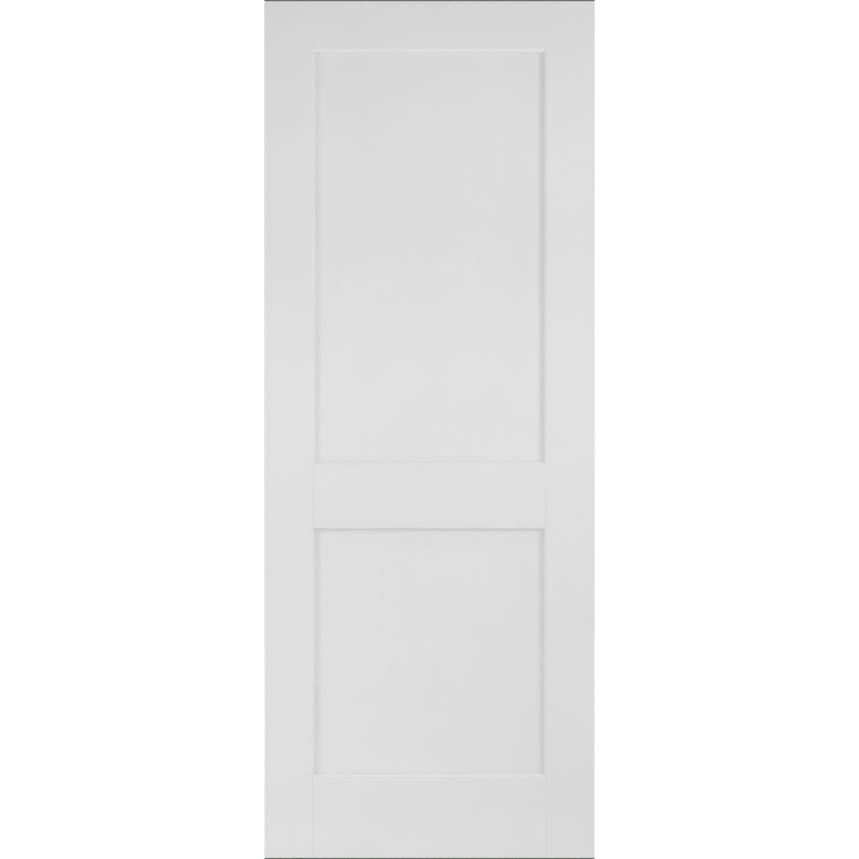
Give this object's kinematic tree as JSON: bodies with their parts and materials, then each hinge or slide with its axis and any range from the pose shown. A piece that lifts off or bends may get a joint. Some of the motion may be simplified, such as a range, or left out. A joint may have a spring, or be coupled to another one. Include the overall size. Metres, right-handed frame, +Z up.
{
  "type": "fire door leaf",
  "caption": "Stile-and-rail fire door leaf with flat recessed panels, primed white, hung by a long edge to close a doorway.",
  "frame": {"origin": "on the face of the left long edge, at the middle of its thickness and at the foot of the leaf", "axes": "+Z up the leaf, +X across it from the left edge to the right edge as seen from the front, +Y from the front face to the back face"},
  "size_m": [0.762, 0.044, 1.981],
  "materials": {
    "primed_board": "satin",
    "primed_timber": "satin",
    "fire_core": "matte",
    "dowel_timber": "matte"
  },
  "bodies": {
    "root": {"bottom_rail_back_facing": "primed_board", "bottom_rail_core": "primed_timber", "bottom_rail_dowels": "dowel_timber", "bottom_rail_front_facing": "primed_board", "left_edge_lipping": "primed_timber", "left_stile_back_facing": "primed_board", "left_stile_core": "primed_timber", "left_stile_front_facing": "primed_board", "lock_rail_back_facing": "primed_board", "lock_rail_core": "primed_timber", "lock_rail_dowels": "dowel_timber", "lock_rail_front_facing": "primed_board", "lower_back_panel": "primed_board", "lower_front_panel": "primed_board", "lower_panel_fire_core": "fire_core", "right_edge_lipping": "primed_timber", "right_stile_back_facing": "primed_board", "right_stile_core": "primed_timber", "right_stile_front_facing": "primed_board", "top_rail_back_facing": "primed_board", "top_rail_core": "primed_timber", "top_rail_dowels": "dowel_timber", "top_rail_front_facing": "primed_board", "upper_back_panel": "primed_board", "upper_front_panel": "primed_board", "upper_panel_fire_core": "fire_core"}
  },
  "joints": []
}
